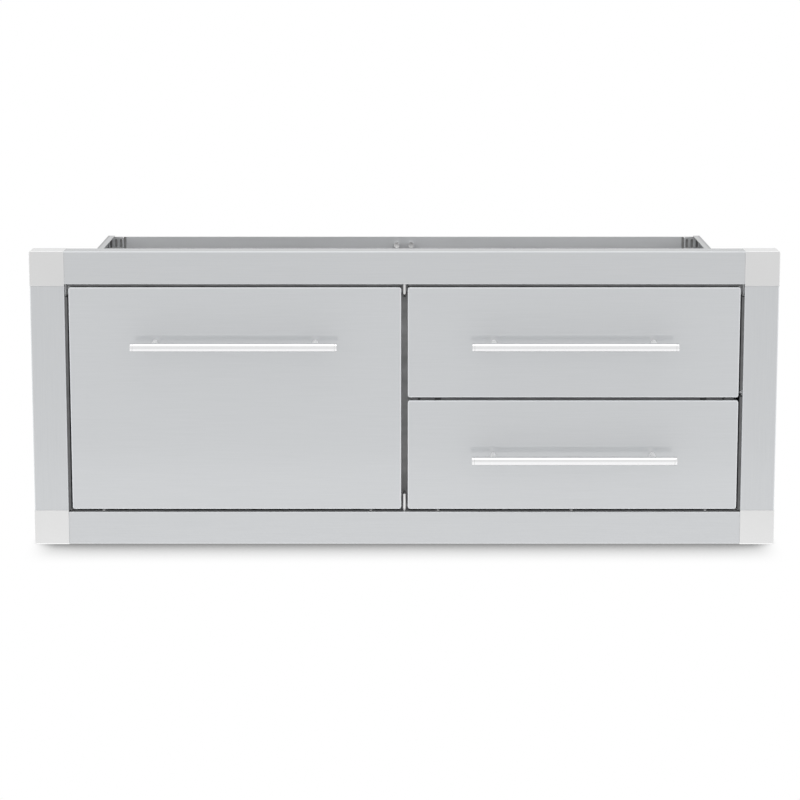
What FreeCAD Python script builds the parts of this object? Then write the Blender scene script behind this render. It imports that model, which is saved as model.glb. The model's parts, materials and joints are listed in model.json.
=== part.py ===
"""Built-in outdoor kitchen drawer unit: one deep drawer beside two shallow ones, in a folded steel frame.

Millimetres. X runs along the width, Y from the front to the back and Z up. The origin lies under the
carcass, midway along its width, in the plane where the frame seats against the island's face.
"""
import FreeCAD, Part
import math
import os

Vector = FreeCAD.Vector

# Frame: four folded rails with a corner piece at each end
frame_width = 1066.8
side_rail_width = 49.2
level_rail_width = 47.7
opening_height = 331.7
frame_depth = 32.0
frame_sheet = 1.5
rear_lip = 12.0
inner_return = 31.0
bend_radius = 0.5

# Corner pieces, a little proud of the rails
corner_height = 50.0
corner_proud = 0.8
corner_side_proud = 0.3
corner_wall = 2.0
corner_radius = 3.0
corner_edge = 1.2
tongue_length = 30.0
tongue_thickness = 3.0
tongue_inset = 3.0
tongue_clearance = 0.3

# Carcass, open at the top
carcass_sheet = 1.2
carcass_lap = 22.0
carcass_depth = 493.0
top_flange = 11.5
foot_flange = 15.0
rear_flange = 15.0
nest_clearance = 0.6

# Divider between the bays, the post in front of it and the tabs that locate the frame
divider_width = 32.0
divider_height = 300.0
divider_foot = 12.0
post_setback = 26.0
post_return = 25.0
tab_width = 3.6
tab_height = 22.0
tab_sheet = 1.5

# Slotted posts in the rear corners
rear_post_width = 24.0
rear_post_depth = 14.0
slot_width = 4.0
slot_length = 14.0
slot_pitch = 25.0
slot_column_pitch = 8.2
slot_columns = 3
slot_end = 2.0

# Drawer fronts
side_gap = 5.6
level_gap = 4.0
stack_gap = 4.3
centre_gap = 9.3
front_thickness = 20.0
front_sheet = 1.0
front_corner = 3.5
front_edge = 1.5
liner_flange = 10.0
liner_clearance = 0.1

# Drawer boxes
box_sheet = 1.0
box_lift = 12.0
box_lip = 8.0
box_tab = 14.0
deep_box_height = 250.0
shallow_box_height = 110.0
deep_slide_height = 104.0
shallow_slide_height = 55.0

# Bar handles
bar_diameter = 12.7
bar_wall = 1.5
bar_length = 292.0
bar_cap = 3.6
bar_spigot = 6.0
bar_chamfer = 0.3
bar_standoff = 39.0
post_diameter = 8.0
post_spacing = 228.6
post_seat = 3.0
round_clearance = 0.05

# Telescopic slides: outer, middle and inner members with balls between them
slide_length = 457.0
slide_inset = 4.0
slide_height = 45.0
slide_width = 12.7
slide_sheet = 1.2
outer_reach = 10.6
middle_start = 2.8
middle_reach = 11.0
inner_start = 5.4
ball_diameter = 3.2
ball_clearance = 0.3
ball_count = 6
ball_pitch = 26.0
cage_sheet = 0.5
cage_length = 150.0
outer_cage_start = 1.8
inner_cage_start = 4.3
cage_reach = 7.0
cage_ball = 4.2
cage_hole_clearance = 0.15

# Screws and holes
screw_diameter = 4.0
screw_head_diameter = 8.0
screw_head_height = 1.6
screw_socket = 2.5
screw_socket_depth = 0.9
screw_round = 0.6
screw_clearance = 0.1
screw_tail = 4.0
handle_screw_length = 26.0
island_hole_diameter = 6.5
island_hole_front = 60.0
island_hole_spacing_y = 370.0
island_hole_low = 35.0
island_hole_spacing_z = 265.0
back_hole_diameter = 7.0
back_hole_spacing = 23.5
back_hole_drop = 13.9
back_collar_wall = 1.2
back_collar_depth = 2.0

# Rows of screws: sill screws across the front, side screws up the frame, and the carcass seams
sill_screw_xs = (-434.0, -48.5, 48.5, 241.0, 434.0)
side_screw_zs = (173.6, 290.0)
frame_screw_setback = 15.5
foot_screw_ys = (40.0, 230.0, 420.0)
back_screw_zs = (30.0, 165.0, 300.0)
rear_screw_xs = (-400.0, -200.0, 0.0, 200.0, 400.0)
rear_screw_drop = 6.0
box_screw_inset = 20.0

# Places that follow from the sizes above
opening_width = frame_width - 2 * side_rail_width
half_opening = opening_width / 2
half_frame = frame_width / 2
frame_top = opening_height + level_rail_width
frame_bottom = -level_rail_width
face_y = -frame_depth
carcass_front = -carcass_lap
lap_end = face_y + inner_return
carcass_inner = half_opening - carcass_sheet
floor_top = carcass_sheet
back_y = carcass_depth - carcass_sheet
back_inner_y = back_y - carcass_sheet
panel_end = back_y - nest_clearance
back_bottom = floor_top + carcass_sheet + nest_clearance
back_top = opening_height - carcass_sheet - nest_clearance
post_y = face_y + post_setback
liner_back = face_y + front_thickness
slide_start = liner_back + slide_inset
box_depth = slide_inset + slide_length
far_past = 5.0

nodes = {}


def across_x(start):
    """Lays a profile (y, z) across X at start."""
    return lambda point: Vector(start, point.x, point.y)


def across_y(start):
    """Lays a profile (x, z) across Y at start."""
    return lambda point: Vector(point.x, start, point.y)


def across_z(start):
    """Lays a profile (x, y) across Z at start."""
    return lambda point: Vector(point.x, point.y, start)


def rounded_wire(corners, place):
    """A closed wire through corners (u, v, radius), with an arc at each corner that has a radius."""
    spans = []
    for index, (u, v, radius) in enumerate(corners):
        here = Vector(u, v, 0)
        before = (Vector(*corners[index - 1][:2], 0) - here).normalize()
        after = (Vector(*corners[(index + 1) % len(corners)][:2], 0) - here).normalize()
        if radius <= 0:
            spans.append((here, None, here))
            continue
        half = before.getAngle(after) / 2
        reach = radius / math.tan(half)
        middle = here + (before + after).normalize() * (radius / math.sin(half) - radius)
        spans.append((here + before * reach, middle, here + after * reach))
    edges = []
    for index, (start, middle, end) in enumerate(spans):
        if middle is not None:
            edges.append(Part.Arc(place(start), place(middle), place(end)).toShape())
        following = spans[(index + 1) % len(spans)][0]
        if end.distanceToPoint(following) > 1e-6:
            edges.append(Part.makeLine(place(end), place(following)))
    return Part.Wire(edges)


def folded(path, sheet, place, run):
    """A folded sheet: one face follows path, the metal lies on its left, and it is drawn out along run."""
    points = [Vector(u, v, 0) for u, v in path]
    steps = [(b - a).normalize() for a, b in zip(points, points[1:])]
    lefts = [Vector(-step.y, step.x, 0) for step in steps]
    near = []
    far = []
    for index, point in enumerate(points):
        if index in (0, len(points) - 1):
            left = lefts[0] if index == 0 else lefts[-1]
            near.append((point.x, point.y, 0))
            shifted = point + left * sheet
            far.append((shifted.x, shifted.y, 0))
            continue
        first = lefts[index - 1]
        second = lefts[index]
        shifted = point + (first + second) * (sheet / (1 + first.dot(second)))
        turns_left = steps[index - 1].cross(steps[index]).z > 0
        outside = bend_radius + sheet
        near.append((point.x, point.y, outside if turns_left else bend_radius))
        far.append((shifted.x, shifted.y, bend_radius if turns_left else outside))
    wire = rounded_wire(near + far[::-1], place)
    return Part.Face(wire).extrude(run)


def box(x0, x1, y0, y1, z0, z1):
    """A plain block between two corners."""
    return Part.makeBox(x1 - x0, y1 - y0, z1 - z0, Vector(x0, y0, z0))


def rod(radius, start, end):
    """A cylinder from start to end."""
    line = end - start
    return Part.makeCylinder(radius, line.Length, start, line)


def rounded_block(x0, x1, z0, z1, y0, y1, radii):
    """A block along Y with its four corners rounded: lower left, lower right, upper right, upper left."""
    corners = zip((x0, x1, x1, x0), (z0, z0, z1, z1), radii)
    wire = rounded_wire(list(corners), across_y(y0))
    return Part.Face(wire).extrude(Vector(0, y1 - y0, 0))


def soften(solid, radius, y):
    """Rounds every edge that lies in the plane y."""
    edges = [edge for edge in solid.Edges if all(abs(end.Y - y) < 1e-6 for end in edge.Vertexes)]
    return solid.makeFillet(radius, edges)


def pan(x0, x1, z0, z1, web_y, rim_y, sheet, radii, edge):
    """An open box of sheet, with its web at web_y and its rim at rim_y."""
    into = math.copysign(1, rim_y - web_y)
    outer = soften(rounded_block(x0, x1, z0, z1, web_y, rim_y, radii), edge, web_y)
    inside = [max(radius - sheet, 0) for radius in radii]
    floor_y = web_y + into * sheet
    past = rim_y + into * far_past
    inner = rounded_block(x0 + sheet, x1 - sheet, z0 + sheet, z1 - sheet, floor_y, past, inside)
    if edge > sheet:
        inner = soften(inner, edge - sheet, floor_y)
    return outer.cut(inner)


def screw(seat, into, length):
    """A button-head socket screw: its head rests at seat and its shank runs along into."""
    head_radius = screw_head_diameter / 2
    top = seat - into * screw_head_height
    head = rod(head_radius, seat, top)
    rim = [edge for edge in head.Edges if abs((edge.CenterOfMass - top).dot(into)) < 1e-6 and edge.Closed]
    head = head.makeFillet(screw_round, rim)
    corners = []
    for index in range(7):
        turn = math.radians(60 * index)
        corners.append(Vector(math.cos(turn), math.sin(turn), 0) * (screw_socket / 2))
    socket = Part.makePolygon(corners)
    hexagon = Part.Face(socket).extrude(Vector(0, 0, screw_socket_depth + far_past))
    turned = FreeCAD.Rotation(Vector(0, 0, 1), -into)
    hexagon.Placement = FreeCAD.Placement(top + into * screw_socket_depth, turned)
    shank = rod(screw_diameter / 2, seat, seat + into * length)
    return head.cut(hexagon).fuse(shank).removeSplitter()


def screw_holes(places, into, length):
    """The clearance holes for screws seated at places."""
    radius = screw_diameter / 2 + screw_clearance
    return [rod(radius, place - into * far_past, place + into * (length + far_past)) for place in places]


def rail(width, place, run):
    """A frame rail; its profile is (y, distance outwards from the opening's edge)."""
    path = [
        (0, width - rear_lip),
        (0, width),
        (face_y, width),
        (face_y, 0),
        (face_y + inner_return, 0),
    ]
    return folded(path, frame_sheet, place, run)


def frame_rails():
    """The four rails between the corner pieces."""
    level_run = Vector(opening_width, 0, 0)
    side_start = frame_bottom + corner_height
    side_run = Vector(0, 0, frame_top - corner_height - side_start)

    def level(side):
        edge = opening_height if side > 0 else 0
        return lambda point: Vector(-half_opening, point.x, edge + side * point.y)

    def upright(side):
        return lambda point: Vector(side * (half_opening + point.y), point.x, side_start)

    nodes["frame_top_rail"] = rail(level_rail_width, level(1), level_run)
    nodes["frame_bottom_rail"] = rail(level_rail_width, level(-1), level_run)
    nodes["frame_right_rail"] = rail(side_rail_width, upright(1), side_run)
    nodes["frame_left_rail"] = rail(side_rail_width, upright(-1), side_run)


def corner_piece(side, level):
    """One hollow corner with a tongue into each of its two rails."""
    inner_x = side * half_opening
    outer_x = side * (half_frame + corner_side_proud)
    edge_z = frame_top if level > 0 else frame_bottom
    inner_z = edge_z - level * corner_height
    outer_z = edge_z + level * corner_side_proud
    x0, x1 = sorted((inner_x, outer_x))
    z0, z1 = sorted((inner_z, outer_z))
    corners = ((-1, -1), (1, -1), (1, 1), (-1, 1))
    radii = [corner_radius if corner == (side, level) else bend_radius for corner in corners]
    front = face_y - corner_proud
    piece = pan(x0, x1, z0, z1, front, 0, corner_wall, radii, min(corner_edge, corner_radius))

    y0 = face_y + frame_sheet + tongue_clearance
    y1 = y0 + tongue_thickness
    grip = frame_sheet + tongue_inset
    root_x = inner_x + side * corner_wall
    tip_x = inner_x - side * tongue_length
    level_edge = opening_height if level > 0 else 0
    low, high = sorted((level_edge + level * grip, edge_z - level * grip))
    level_tongue = box(min(root_x, tip_x), max(root_x, tip_x), y0, y1, low, high)
    near, far = sorted((inner_x + side * grip, side * half_frame - side * grip))
    root_z = inner_z + level * corner_wall
    tip_z = inner_z - level * tongue_length
    side_tongue = box(near, far, y0, y1, min(root_z, tip_z), max(root_z, tip_z))
    return piece.fuse([level_tongue, side_tongue]).removeSplitter()


def corner_pieces():
    """The four corners of the frame."""
    for level, row in ((1, "top"), (-1, "bottom")):
        for side, column in ((-1, "left"), (1, "right")):
            nodes["corner_" + row + "_" + column] = corner_piece(side, level)


def side_panel(side):
    """A carcass side with a flange turned inwards along its top and its foot."""
    path = [
        (half_opening - foot_flange, floor_top),
        (half_opening, floor_top),
        (half_opening, opening_height),
        (half_opening - top_flange, opening_height),
    ]
    place = lambda point: Vector(side * point.x, carcass_front, point.y)
    panel = folded(path, carcass_sheet, place, Vector(0, panel_end - carcass_front, 0))
    holes = []
    for y in (island_hole_front, island_hole_front + island_hole_spacing_y):
        for z in (island_hole_low, island_hole_low + island_hole_spacing_z):
            start = Vector(side * (half_opening - far_past), y, z)
            end = Vector(side * (half_opening + far_past), y, z)
            holes.append(rod(island_hole_diameter / 2, start, end))
    return panel.cut(holes)


def base_panel():
    """The carcass floor with its rear edge turned up.

    The strip that laps over the frame rail keeps a face of its own, so the face behind it is the seat.
    """
    path = [(lap_end, 0), (carcass_depth, 0), (carcass_depth, rear_flange)]
    floor = folded(path, carcass_sheet, across_x(-half_opening), Vector(opening_width, 0, 0))
    return floor.fuse(box(-half_opening, half_opening, carcass_front, lap_end, 0, floor_top))


def back_panel():
    """The carcass back, with two collared holes under its top edge and a flange along each side."""
    path = [
        (carcass_inner, back_y - rear_flange),
        (carcass_inner, back_y),
        (-carcass_inner, back_y),
        (-carcass_inner, back_y - rear_flange),
    ]
    panel = folded(path, carcass_sheet, across_z(back_bottom), Vector(0, 0, back_top - back_bottom))
    z = opening_height - back_hole_drop
    radius = back_hole_diameter / 2
    for x in (-back_hole_spacing / 2, back_hole_spacing / 2):
        lip = Vector(x, back_inner_y - back_collar_depth, z)
        seat = Vector(x, back_inner_y + carcass_sheet / 2, z)
        panel = panel.fuse(rod(radius + back_collar_wall, lip, seat))
        panel = panel.cut(rod(radius, lip - Vector(0, far_past, 0), Vector(x, back_y + far_past, z)))
    return panel.removeSplitter()


def divider():
    """The folded partition between the bays, with a foot along each side."""
    half = divider_width / 2
    front = post_y + carcass_sheet + nest_clearance
    path = [(half, front), (half, back_inner_y), (-half, back_inner_y), (-half, front)]
    walls = folded(path, carcass_sheet, across_z(floor_top), Vector(0, 0, divider_height - floor_top))
    feet = []
    for side in (-1, 1):
        x0, x1 = sorted((side * (half - carcass_sheet), side * (half + divider_foot)))
        foot_end = back_inner_y - nest_clearance - carcass_sheet
        feet.append(box(x0, x1, front, foot_end, floor_top, floor_top + carcass_sheet))
    return walls.fuse(feet).removeSplitter()


def centre_post():
    """The post seen between the drawer fronts, folded back inside the divider."""
    half = divider_width / 2 - carcass_sheet
    path = [(-half, post_y + post_return), (-half, post_y), (half, post_y), (half, post_y + post_return)]
    return folded(path, carcass_sheet, across_z(floor_top), Vector(0, 0, opening_height - floor_top))


def locating_tabs():
    """Narrow tabs at the top and the foot of the post and of both carcass sides."""
    y0 = post_y - tab_sheet
    half = tab_width / 2
    tabs = [
        box(-half, half, y0, post_y, floor_top, floor_top + tab_height),
        box(-half, half, y0, post_y, opening_height - tab_height, opening_height),
    ]
    for side in (-1, 1):
        x0, x1 = sorted((side * (carcass_inner - tab_width), side * carcass_inner))
        tabs.append(box(x0, x1, y0, post_y, back_bottom, back_bottom + tab_height))
        tabs.append(box(x0, x1, y0, post_y, back_top - tab_height, back_top))
    return Part.makeCompound(tabs)


def rear_post(side):
    """A slotted channel in a rear corner."""
    outer = carcass_inner - carcass_sheet - nest_clearance
    inner = outer - rear_post_width
    front = back_inner_y - rear_post_depth
    path = [(inner, back_inner_y), (inner, front), (outer, front), (outer, back_inner_y)]
    place = lambda point: Vector(side * point.x, point.y, back_bottom)
    height = back_top - back_bottom
    post = folded(path, carcass_sheet, place, Vector(0, 0, height))
    middle = (inner + outer) / 2
    rows = int((height - 2 * slot_end - slot_length) // slot_pitch) + 1
    rounds = [slot_width / 2] * 4
    slots = []
    for row in range(rows):
        high = back_top - slot_end - row * slot_pitch
        for column in range(slot_columns):
            x = side * (middle + (column - (slot_columns - 1) / 2) * slot_column_pitch)
            x0 = x - slot_width / 2
            x1 = x + slot_width / 2
            past = front + rear_post_depth / 2
            slots.append(rounded_block(x0, x1, high - slot_length, high, front - far_past, past, rounds))
    return post.cut(slots)


def carcass():
    """The carcass panels, and the screws that hold them to each other and to the frame."""
    parts = {
        "left_side_panel": side_panel(-1),
        "right_side_panel": side_panel(1),
        "base_panel": base_panel(),
        "back_panel": back_panel(),
        "centre_divider": divider(),
        "centre_post": centre_post(),
        "locating_tabs": locating_tabs(),
        "left_rear_post": rear_post(-1),
        "right_rear_post": rear_post(1),
    }
    down = Vector(0, 0, -1)
    forward = Vector(0, -1, 0)
    frame_y = face_y + frame_screw_setback
    frame_grip = carcass_sheet + frame_sheet + screw_tail
    seam_grip = 2 * carcass_sheet
    rear_seam_grip = seam_grip + screw_tail

    sill = [Vector(x, frame_y, floor_top) for x in sill_screw_xs]
    join(sill, down, frame_grip, "frame_screws", parts, ["base_panel"], ["frame_bottom_rail"])
    for side, name in ((-1, "left"), (1, "right")):
        outwards = Vector(side, 0, 0)
        panel = name + "_side_panel"
        heads = [Vector(side * carcass_inner, frame_y, z) for z in side_screw_zs]
        join(heads, outwards, frame_grip, "frame_screws", parts, [panel], ["frame_" + name + "_rail"])
        foot_x = side * (half_opening - foot_flange / 2)
        feet = [Vector(foot_x, y, floor_top + carcass_sheet) for y in foot_screw_ys]
        join(feet, down, seam_grip, "carcass_screws", parts, [panel, "base_panel"], [])
        seam_y = back_y - rear_flange / 2
        seams = [Vector(side * half_opening, seam_y, z) for z in back_screw_zs]
        join(seams, -outwards, seam_grip, "carcass_screws", parts, [panel, "back_panel"], [])
        keel_x = side * (divider_width / 2 + divider_foot - screw_head_diameter / 2)
        keel = [Vector(keel_x, y, floor_top + carcass_sheet) for y in foot_screw_ys]
        join(keel, down, seam_grip, "carcass_screws", parts, ["centre_divider", "base_panel"], [])
    rear = [Vector(x, carcass_depth, rear_flange - rear_screw_drop) for x in rear_screw_xs]
    rear_seam = ["base_panel", "back_panel", "centre_divider"]
    join(rear, forward, rear_seam_grip, "carcass_screws", parts, rear_seam, [])
    nodes.update(parts)


def join(heads, into, length, group, parts, panels, frames):
    """Adds screws to a group and drills the panels and the frame rails that they pass through."""
    holes = screw_holes(heads, into, length)
    for name in panels:
        parts[name] = parts[name].cut(holes)
    for name in frames:
        nodes[name] = nodes[name].cut(holes)
    made = [screw(head, into, length) for head in heads]
    nodes.setdefault(group, []).extend(made)


def slide_member(path, sheet, place, length):
    """One folded member or cage of a slide, from its (reach, height) path."""
    return folded(path, sheet, place, Vector(0, length, 0))


def channel(start, reach, half_height):
    """The path of a channel with its web at start, open towards reach."""
    return [(reach, half_height), (start, half_height), (start, -half_height), (reach, -half_height)]


def ball_cage(start, ball_height, place, face, side, height):
    """A cage with its balls, midway along the slide."""
    first = slide_start + (slide_length - cage_length) / 2
    half = ball_height + cage_sheet / 2
    cage = slide_member(channel(start, start + cage_reach, half), cage_sheet, place(first), cage_length)
    ball_radius = ball_diameter / 2
    middle = first + cage_length / 2
    holes = []
    balls = []
    for level in (-1, 1):
        for index in range(ball_count):
            y = middle + (index - (ball_count - 1) / 2) * ball_pitch
            centre = Vector(face + side * (start + cage_ball), y, height + level * ball_height)
            reach = Vector(0, 0, cage_sheet)
            holes.append(rod(ball_radius + cage_hole_clearance, centre - reach, centre + reach))
            balls.append(Part.makeSphere(ball_radius, centre))
    return [cage.cut(holes)] + balls


def slide(face, side, height):
    """The members of one slide: side is the way from the carcass face to the drawer box."""
    half = slide_height / 2
    room = ball_diameter + 2 * ball_clearance
    outer_ball = half - slide_sheet - room / 2
    middle_half = half - slide_sheet - room
    inner_ball = middle_half - slide_sheet - room / 2
    inner_half = middle_half - slide_sheet - room

    def place(start):
        return lambda point: Vector(face + side * point.x, start, height + point.y)

    inner_path = [
        (inner_start, -inner_half),
        (slide_width, -inner_half),
        (slide_width, inner_half),
        (inner_start, inner_half),
    ]
    outer_path = channel(0, outer_reach, half)
    middle_path = channel(middle_start, middle_reach, middle_half)
    here = place(slide_start)
    return {
        "outer_slides": [slide_member(outer_path, slide_sheet, here, slide_length)],
        "middle_slides": [slide_member(middle_path, slide_sheet, here, slide_length)],
        "inner_slides": [slide_member(inner_path, slide_sheet, here, slide_length)],
        "outer_cages": ball_cage(outer_cage_start, outer_ball, place, face, side, height),
        "inner_cages": ball_cage(inner_cage_start, inner_ball, place, face, side, height),
    }


def handle(name, centre_x, centre_z):
    """A bar on two posts; returns where its screws pass through the drawer front."""
    bar_y = face_y - bar_standoff
    radius = bar_diameter / 2
    half_tube = bar_length / 2 - bar_cap
    left_end = Vector(centre_x - half_tube, bar_y, centre_z)
    right_end = Vector(centre_x + half_tube, bar_y, centre_z)
    past = Vector(far_past, 0, 0)
    bar = rod(radius, left_end, right_end)
    bar = bar.makeChamfer(bar_chamfer, [edge for edge in bar.Edges if edge.Closed])
    bar = bar.cut(rod(radius - bar_wall, left_end - past, right_end + past))
    ends = []
    posts = []
    screws = []
    for side in (-1, 1):
        x = centre_x + side * post_spacing / 2
        seat = bar_y + radius - post_seat
        foot = Vector(x, face_y, centre_z)
        tip = Vector(x, seat, centre_z)
        bar = bar.cut(rod(post_diameter / 2 + round_clearance, Vector(x, bar_y, centre_z), foot))
        post = rod(post_diameter / 2, foot, tip)
        bore = rod(screw_diameter / 2 + round_clearance, foot, foot - Vector(0, handle_screw_length, 0))
        posts.append(post.cut(bore))
        screws.append(Vector(x, liner_back, centre_z))
        joint = Vector(centre_x + side * half_tube, bar_y, centre_z)
        outer_end = joint + Vector(side * bar_cap, 0, 0)
        cap = rod(radius, joint, outer_end)
        cap = cap.makeChamfer(bar_chamfer, [edge for edge in cap.Edges if edge.Closed])
        spigot_end = joint - Vector(side * bar_spigot, 0, 0)
        spigot = rod(radius - bar_wall - round_clearance, joint, spigot_end)
        ends.append(cap.fuse(spigot).removeSplitter())
    nodes[name + "_handle_bar"] = bar
    nodes[name + "_handle_posts"] = Part.makeCompound(posts)
    nodes[name + "_handle_ends"] = Part.makeCompound(ends)
    return screws


def drawer_tray(x0, x1, z0, z1):
    """The folded floor and sides of a box, with a tab down each side to take the front."""
    path = [
        (x0 + box_lip, z1),
        (x0, z1),
        (x0, z0),
        (x1, z0),
        (x1, z1),
        (x1 - box_lip, z1),
    ]
    tray = folded(path, box_sheet, across_y(liner_back), Vector(0, box_depth, 0))
    low = z0 + box_sheet / 2
    high = z1 - box_sheet / 2
    y1 = liner_back + box_sheet
    left = box(x0 + box_sheet / 2, x0 + box_tab, liner_back, y1, low, high)
    right = box(x1 - box_tab, x1 - box_sheet / 2, liner_back, y1, low, high)
    return tray.fuse([left, right]).removeSplitter()


def drawer_back(x0, x1, z0, z1):
    """The rear wall of a box, folded forwards along its top and its foot."""
    rear = liner_back + box_depth
    low = z0 + box_sheet
    high = z1 - box_sheet
    path = [(rear - box_lip, low), (rear, low), (rear, high), (rear - box_lip, high)]
    inset = box_sheet + nest_clearance
    return folded(path, box_sheet, across_x(x0 + inset), Vector(x1 - x0 - 2 * inset, 0, 0))


def drawer(name, x0, x1, z0, z1, handle_z, wall_face, divider_face, box_height, slide_rise):
    """One drawer: its front, handle, box and pair of slides."""
    flat = [front_corner] * 4
    skin = pan(x0, x1, z0, z1, face_y, liner_back, front_sheet, flat, front_edge)
    inset = front_sheet + liner_clearance
    liner_radii = [front_corner - front_sheet] * 4
    liner = pan(
        x0 + inset, x1 - inset, z0 + inset, z1 - inset, liner_back, liner_back - liner_flange,
        front_sheet, liner_radii, bend_radius,
    )
    box_z0 = z0 + box_lift
    box_z1 = box_z0 + box_height
    into_x = math.copysign(1, divider_face - wall_face)
    box_ends = (wall_face + into_x * slide_width, divider_face - into_x * slide_width)
    box_x0, box_x1 = sorted(box_ends)
    tray = drawer_tray(box_x0, box_x1, box_z0, box_z1)

    forward = Vector(0, -1, 0)
    handle_seats = handle(name, (x0 + x1) / 2, handle_z)
    tab_middle = (box_sheet + box_tab) / 2
    tab_seats = []
    for x in (box_x0 + tab_middle, box_x1 - tab_middle):
        for z in (box_z0 + box_screw_inset, box_z1 - box_screw_inset):
            tab_seats.append(Vector(x, liner_back + box_sheet, z))
    tab_length = box_sheet + front_sheet + screw_tail
    handle_holes = screw_holes(handle_seats, forward, front_thickness)
    tab_holes = screw_holes(tab_seats, forward, tab_length)
    screws = [screw(seat, forward, handle_screw_length) for seat in handle_seats]
    screws += [screw(seat, forward, tab_length) for seat in tab_seats]

    nodes[name + "_front"] = skin.cut(handle_holes)
    nodes[name + "_front_liner"] = liner.cut(handle_holes + tab_holes)
    nodes[name + "_box_tray"] = tray.cut(tab_holes)
    nodes[name + "_box_back"] = drawer_back(box_x0, box_x1, box_z0, box_z1)
    nodes[name + "_screws"] = Part.makeCompound(screws)

    height = box_z0 + slide_rise
    wall_slide = slide(wall_face, into_x, height)
    divider_slide = slide(divider_face, -into_x, height)
    for member in wall_slide:
        nodes[name + "_" + member] = Part.makeCompound(wall_slide[member] + divider_slide[member])


def drawers():
    """The deep drawer on the left and the two shallow ones on the right."""
    outer = half_opening - side_gap
    inner = centre_gap / 2
    low = level_gap
    high = opening_height - level_gap
    shallow = (high - low - stack_gap) / 2
    lower_top = low + shallow
    upper_bottom = high - shallow
    upper_handle = upper_bottom + shallow / 2
    lower_handle = low + shallow / 2
    wall = carcass_inner
    middle = divider_width / 2
    deep = (deep_box_height, deep_slide_height)
    small = (shallow_box_height, shallow_slide_height)
    drawer("left", -outer, -inner, low, high, upper_handle, -wall, -middle, *deep)
    drawer("right_top", inner, outer, upper_bottom, high, upper_handle, wall, middle, *small)
    drawer("right_bottom", inner, outer, low, lower_top, lower_handle, wall, middle, *small)


frame_rails()
corner_pieces()
carcass()
drawers()
for group in ("frame_screws", "carcass_screws"):
    nodes[group] = Part.makeCompound(nodes[group])

os.makedirs("parts", exist_ok=True)
for node_name, shape in sorted(nodes.items()):
    shape.exportStep("parts/" + node_name + ".step")
print(len(nodes), "nodes,", sum(len(shape.Solids) for shape in nodes.values()), "solids")
for node_name, shape in sorted(nodes.items()):
    if not shape.isValid():
        print("not valid:", node_name)
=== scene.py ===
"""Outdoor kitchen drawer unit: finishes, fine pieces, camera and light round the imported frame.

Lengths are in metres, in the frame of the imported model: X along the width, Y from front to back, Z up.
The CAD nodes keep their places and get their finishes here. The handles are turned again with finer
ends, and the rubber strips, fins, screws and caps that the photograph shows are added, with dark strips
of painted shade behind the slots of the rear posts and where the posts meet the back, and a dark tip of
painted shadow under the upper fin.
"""

import json
import math

import bmesh
import bpy
from mathutils import Matrix, Vector

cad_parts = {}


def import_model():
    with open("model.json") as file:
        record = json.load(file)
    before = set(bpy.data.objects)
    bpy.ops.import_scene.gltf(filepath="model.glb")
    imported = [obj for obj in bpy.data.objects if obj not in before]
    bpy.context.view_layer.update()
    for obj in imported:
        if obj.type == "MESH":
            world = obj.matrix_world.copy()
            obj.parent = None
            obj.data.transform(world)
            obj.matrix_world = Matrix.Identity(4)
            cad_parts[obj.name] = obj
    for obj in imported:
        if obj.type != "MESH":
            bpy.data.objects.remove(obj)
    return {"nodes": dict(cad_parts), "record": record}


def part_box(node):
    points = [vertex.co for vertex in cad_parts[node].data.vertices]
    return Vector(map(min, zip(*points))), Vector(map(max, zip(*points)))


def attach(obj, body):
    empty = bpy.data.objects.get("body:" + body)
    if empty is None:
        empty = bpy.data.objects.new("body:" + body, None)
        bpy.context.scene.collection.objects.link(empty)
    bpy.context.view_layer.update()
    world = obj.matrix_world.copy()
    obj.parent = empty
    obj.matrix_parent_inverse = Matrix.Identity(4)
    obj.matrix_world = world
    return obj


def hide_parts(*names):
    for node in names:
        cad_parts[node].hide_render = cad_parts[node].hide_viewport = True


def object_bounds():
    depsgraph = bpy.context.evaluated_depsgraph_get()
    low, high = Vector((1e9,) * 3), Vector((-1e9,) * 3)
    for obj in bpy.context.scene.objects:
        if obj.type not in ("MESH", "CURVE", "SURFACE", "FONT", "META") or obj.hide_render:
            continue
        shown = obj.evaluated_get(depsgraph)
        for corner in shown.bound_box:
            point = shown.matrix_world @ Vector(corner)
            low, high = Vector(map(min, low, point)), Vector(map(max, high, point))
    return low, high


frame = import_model()
cad_low, cad_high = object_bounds()

DRAWERS = ("left", "right_top", "right_bottom")
SIDES = (-1, 1)
MM = 0.001


# Camera

CAMERA_PLACE = (-0.0064, -3.4436, 0.8604)
CAMERA_TILT = math.radians(8.70)
CAMERA_LENS = 109.23
CAMERA_SENSOR = 36
CAMERA_SHIFT = -0.15
CAMERA_NEAR = 0.05
CAMERA_FAR = 60


def photograph_camera():
    """The camera that sees the unit as the photograph does, a little from above."""
    data = bpy.data.cameras.new("photograph_camera")
    data.sensor_width = CAMERA_SENSOR
    data.lens = CAMERA_LENS
    data.shift_y = CAMERA_SHIFT
    data.clip_start = CAMERA_NEAR
    data.clip_end = CAMERA_FAR
    camera = bpy.data.objects.new("photograph_camera", data)
    camera.location = CAMERA_PLACE
    camera.rotation_euler = (math.pi / 2 - CAMERA_TILT, 0, 0)
    bpy.context.scene.collection.objects.link(camera)
    bpy.context.scene.camera = camera


# Materials: the tools that make them

# Most of a noise lies between these two values
NOISE_LOW = 0.3
NOISE_HIGH = 0.7

# Places of the colour sockets among all the sockets of a Mix node
MIX_SHARE = 0
MIX_FIRST = 6
MIX_SECOND = 7
MIX_RESULT = 2

# A bent rail or front, from its face backwards: a painted highlight on the bend, and then painted shade
# on the flange
FACE_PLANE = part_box("frame_right_rail")[0].y
BEND_HIGHLIGHT = 1.16
BEND_START = 0.02 * MM
BEND_FULL = 0.15 * MM
BEND_END = 1.4 * MM
FLANGE_START = 2.6 * MM
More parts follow.
